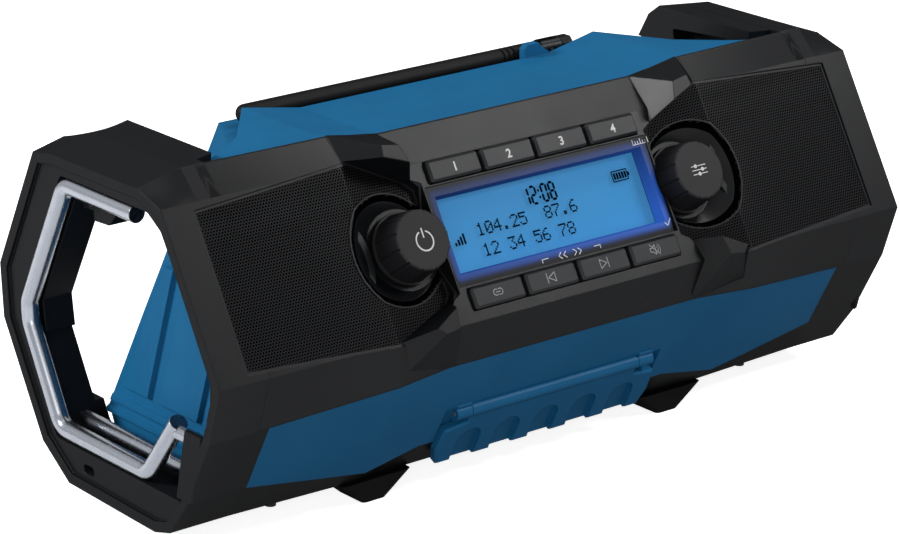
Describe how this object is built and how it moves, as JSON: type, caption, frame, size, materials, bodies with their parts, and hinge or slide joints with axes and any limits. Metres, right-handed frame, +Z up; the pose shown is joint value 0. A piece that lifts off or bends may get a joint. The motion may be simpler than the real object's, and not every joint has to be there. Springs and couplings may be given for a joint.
{
  "type": "jobsite radio",
  "caption": "Rugged cordless radio with leaning front, two speakers, display between two knobs, grip frames at the ends and a fold-down antenna.",
  "frame": {"origin": "on the table, under the middle of the whole radio, level with the undersides of the feet", "axes": "X along the radio from the volume knob to the tune knob, Y to the back, Z up"},
  "size_m": [0.372, 0.1724, 0.1611],
  "materials": {
    "aluminium_bar": "satin drawn",
    "black_plastic": "satin moulded",
    "black_rubber": "matt",
    "blue_display": "lit from behind",
    "blue_plastic": "satin moulded",
    "brass_contact": "bright",
    "button_rubber": "matt",
    "clear_lens": "clear",
    "gloss_black": "gloss moulded",
    "green_board": "solder mask",
    "grey_plastic": "satin moulded",
    "grey_rubber": "matt",
    "grille_metal": "perforated and painted",
    "knob_rubber": "matt ribbed",
    "speaker_paper": "pressed paper",
    "speaker_steel": "plated",
    "white_plastic": "diffusing"
  },
  "bodies": {
    "housing": {"front_housing": "blue_plastic", "rear_housing": "blue_plastic", "bottom_tray": "black_plastic", "rubber_feet": "black_rubber", "right_end_frame": "black_plastic", "left_end_frame": "black_plastic", "right_outer_bar": "aluminium_bar", "left_outer_bar": "aluminium_bar", "right_inner_bar": "aluminium_bar", "left_inner_bar": "aluminium_bar", "right_bar_pin": "aluminium_bar", "left_bar_pin": "aluminium_bar", "front_bezel": "black_plastic", "console_panel": "gloss_black", "right_grille": "grille_metal", "left_grille": "grille_metal", "lcd_window": "clear_lens", "lcd_panel": "blue_display", "backlight": "white_plastic", "control_board": "green_board", "button_mat": "grey_rubber", "right_speaker_basket": "speaker_steel", "right_speaker_cone": "speaker_paper", "right_speaker_magnet": "speaker_steel", "left_speaker_basket": "speaker_steel", "left_speaker_cone": "speaker_paper", "left_speaker_magnet": "speaker_steel", "port_panel": "black_plastic", "usb_socket": "speaker_steel", "aux_socket": "black_plastic", "door_hinge_pin": "speaker_steel", "antenna_socket": "black_plastic", "battery_bay": "black_plastic", "battery_contacts": "brass_contact", "housing_screws": "speaker_steel", "volume_encoder": "speaker_steel", "tune_encoder": "speaker_steel"},
    "volume_core": {"volume_plunger": "grey_plastic"},
    "volume_knob": {"volume_knob": "knob_rubber", "volume_shaft": "speaker_steel"},
    "tune_core": {"tune_plunger": "grey_plastic"},
    "tune_knob": {"tune_knob": "knob_rubber", "tune_shaft": "speaker_steel"},
    "port_door": {"port_door": "blue_plastic"},
    "antenna_knuckle": {"antenna_knuckle": "black_plastic", "antenna_fold_pin": "speaker_steel"},
    "antenna_mast": {"antenna_mast": "black_rubber"},
    "battery_pack": {"battery_pack": "black_plastic"},
    "battery_latch": {"battery_latch": "grey_plastic"},
    "preset_button_1": {"preset_button_1": "button_rubber"},
    "function_button_1": {"function_button_1": "button_rubber"},
    "preset_button_2": {"preset_button_2": "button_rubber"},
    "function_button_2": {"function_button_2": "button_rubber"},
    "preset_button_3": {"preset_button_3": "button_rubber"},
    "function_button_3": {"function_button_3": "button_rubber"},
    "preset_button_4": {"preset_button_4": "button_rubber"},
    "function_button_4": {"function_button_4": "button_rubber"}
  },
  "joints": [
    {"name": "volume_push", "type": "slide", "parent": "housing", "child": "volume_core", "axis": [0, 0.866, -0.5], "range_m": [0, 0.0005], "stiffness_N_per_m": 900},
    {"name": "volume_turn", "type": "hinge", "parent": "volume_core", "child": "volume_knob", "pos_m": [-0.0757, -0.0564, 0.11705], "axis": [0, -0.866, 0.5], "continuous": true},
    {"name": "tune_push", "type": "slide", "parent": "housing", "child": "tune_core", "axis": [0, 0.866, -0.5], "range_m": [0, 0.0005], "stiffness_N_per_m": 900},
    {"name": "tune_turn", "type": "hinge", "parent": "tune_core", "child": "tune_knob", "pos_m": [0.0757, -0.0564, 0.11705], "axis": [0, -0.866, 0.5], "continuous": true},
    {"name": "preset_1_push", "type": "slide", "parent": "housing", "child": "preset_button_1", "axis": [0, 0.866, -0.5], "range_m": [0, 0.0008], "stiffness_N_per_m": 700},
    {"name": "function_1_push", "type": "slide", "parent": "housing", "child": "function_button_1", "axis": [0, 0.866, -0.5], "range_m": [0, 0.0008], "stiffness_N_per_m": 700},
    {"name": "preset_2_push", "type": "slide", "parent": "housing", "child": "preset_button_2", "axis": [0, 0.866, -0.5], "range_m": [0, 0.0008], "stiffness_N_per_m": 700},
    {"name": "function_2_push", "type": "slide", "parent": "housing", "child": "function_button_2", "axis": [0, 0.866, -0.5], "range_m": [0, 0.0008], "stiffness_N_per_m": 700},
    {"name": "preset_3_push", "type": "slide", "parent": "housing", "child": "preset_button_3", "axis": [0, 0.866, -0.5], "range_m": [0, 0.0008], "stiffness_N_per_m": 700},
    {"name": "function_3_push", "type": "slide", "parent": "housing", "child": "function_button_3", "axis": [0, 0.866, -0.5], "range_m": [0, 0.0008], "stiffness_N_per_m": 700},
    {"name": "preset_4_push", "type": "slide", "parent": "housing", "child": "preset_button_4", "axis": [0, 0.866, -0.5], "range_m": [0, 0.0008], "stiffness_N_per_m": 700},
    {"name": "function_4_push", "type": "slide", "parent": "housing", "child": "function_button_4", "axis": [0, 0.866, -0.5], "range_m": [0, 0.0008], "stiffness_N_per_m": 700},
    {"name": "port_door_hinge", "type": "hinge", "parent": "housing", "child": "port_door", "pos_m": [0, -0.05542, 0.03755], "axis": [-1, 0, 0], "range_deg": [0, 100]},
    {"name": "antenna_swivel", "type": "hinge", "parent": "housing", "child": "antenna_knuckle", "pos_m": [0.0806, 0.03885, 0.1543], "axis": [1, 0, 0], "range_deg": [-75, 30]},
    {"name": "antenna_fold", "type": "hinge", "parent": "antenna_knuckle", "child": "antenna_mast", "pos_m": [0.075, 0.03885, 0.1543], "axis": [0, 1, 0], "range_deg": [0, 90]},
    {"name": "battery_slide", "type": "slide", "parent": "housing", "child": "battery_pack", "axis": [0, 1, 0], "range_m": [0, 0.062]},
    {"name": "battery_latch_push", "type": "slide", "parent": "battery_pack", "child": "battery_latch", "axis": [0, -1, 0], "range_m": [0, 0.002], "stiffness_N_per_m": 800}
  ]
}
